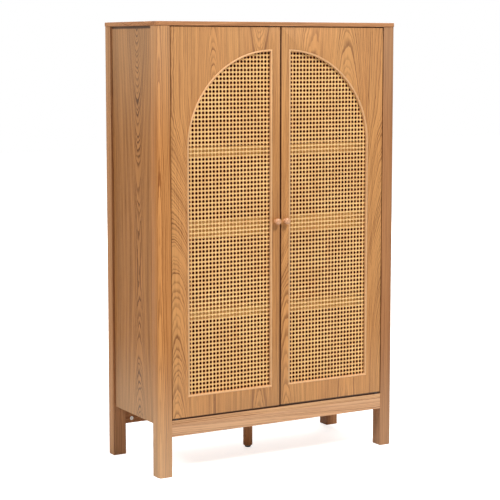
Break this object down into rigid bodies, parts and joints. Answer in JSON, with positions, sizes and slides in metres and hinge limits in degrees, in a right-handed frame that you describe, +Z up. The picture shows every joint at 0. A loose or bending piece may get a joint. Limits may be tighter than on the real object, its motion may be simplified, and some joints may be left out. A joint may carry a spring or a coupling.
{
  "type": "shoe cabinet",
  "caption": "Tall free-standing shoe cabinet in oak-toned wood with round-cornered posts and a pair of hinged doors that carry cane panels with quarter-round tops.",
  "frame": {"origin": "on the floor under the middle of the outline, which runs from the knobs' tips to the top board's rear edge", "axes": "+Z up; the doors face -Y; +X is to the right of someone who faces the doors"},
  "size_m": [0.871, 0.394, 1.4],
  "materials": {
    "top_veneer": "satin lacquered oak-toned veneer, grain along the width",
    "post_wood": "satin lacquered solid wood, straight upright grain",
    "side_veneer": "satin lacquered veneer, upright cathedral grain",
    "door_veneer": "satin lacquered veneer, upright cathedral grain",
    "base_wood": "satin lacquered solid wood, grain along the width",
    "rail_wood": "lacquered solid wood",
    "back_board": "veneered thin board, plain grain",
    "shelf_veneer": "satin lacquered veneer",
    "bead_wood": "pale split rattan bead, satin",
    "cane": "natural cane webbing in an open six-way weave, satin",
    "frame_wood": "lacquered solid wood",
    "knob_wood": "satin lacquered turned wood",
    "leg_wood": "satin lacquered turned wood",
    "dowel_wood": "plain beech dowel",
    "black_plastic": "matte black plastic",
    "white_plastic": "matte white plastic",
    "zinc_steel": "bright zinc plated steel"
  },
  "bodies": {
    "carcass": {"top_board": "top_veneer", "front_left_post": "post_wood", "front_right_post": "post_wood", "rear_left_post": "post_wood", "rear_right_post": "post_wood", "left_side_panel": "side_veneer", "right_side_panel": "side_veneer", "back_panel": "back_board", "bottom_board": "base_wood", "centre_divider": "shelf_veneer", "front_apron": "base_wood", "rear_rail": "rail_wood", "upper_rear_rail": "rail_wood", "left_shelf_low": "shelf_veneer", "left_shelf_middle": "shelf_veneer", "left_shelf_high": "shelf_veneer", "right_shelf_low": "shelf_veneer", "right_shelf_middle": "shelf_veneer", "right_shelf_high": "shelf_veneer", "shelf_rails": "shelf_veneer", "shelf_pins": "zinc_steel", "pivot_pins": "zinc_steel", "thrust_washers": "black_plastic", "magnetic_catches": "white_plastic", "catch_screws": "zinc_steel", "door_bumpers": "white_plastic", "cams": "zinc_steel", "cam_bolts": "zinc_steel", "dowels": "dowel_wood", "back_screws": "zinc_steel", "centre_leg": "leg_wood", "leg_plate": "zinc_steel", "leg_plate_screws": "zinc_steel", "leg_bolt": "zinc_steel", "leg_insert": "zinc_steel"},
    "left_door": {"left_door_panel": "door_veneer", "left_door_bead": "bead_wood", "left_door_cane": "cane", "left_door_frame": "frame_wood", "left_knob": "knob_wood", "left_knob_screw": "zinc_steel", "left_strike_plate": "zinc_steel", "left_strike_screws": "zinc_steel", "left_pivot_bushes": "white_plastic"},
    "right_door": {"right_door_panel": "door_veneer", "right_door_bead": "bead_wood", "right_door_cane": "cane", "right_door_frame": "frame_wood", "right_knob": "knob_wood", "right_knob_screw": "zinc_steel", "right_strike_plate": "zinc_steel", "right_strike_screws": "zinc_steel", "right_pivot_bushes": "white_plastic"},
    "glide": {"glide": "black_plastic"}
  },
  "joints": [
    {"name": "left_door_hinge", "type": "hinge", "parent": "carcass", "child": "left_door", "pos_m": [-0.3725, -0.168, 0.782], "axis": [0, 0, 1], "range_deg": [-110, 0]},
    {"name": "right_door_hinge", "type": "hinge", "parent": "carcass", "child": "right_door", "pos_m": [0.3725, -0.168, 0.782], "axis": [0, 0, 1], "range_deg": [0, 110]},
    {"name": "glide_adjust", "type": "slide", "parent": "carcass", "child": "glide", "axis": [0, 0, 1], "range_m": [0, 0.006]}
  ]
}
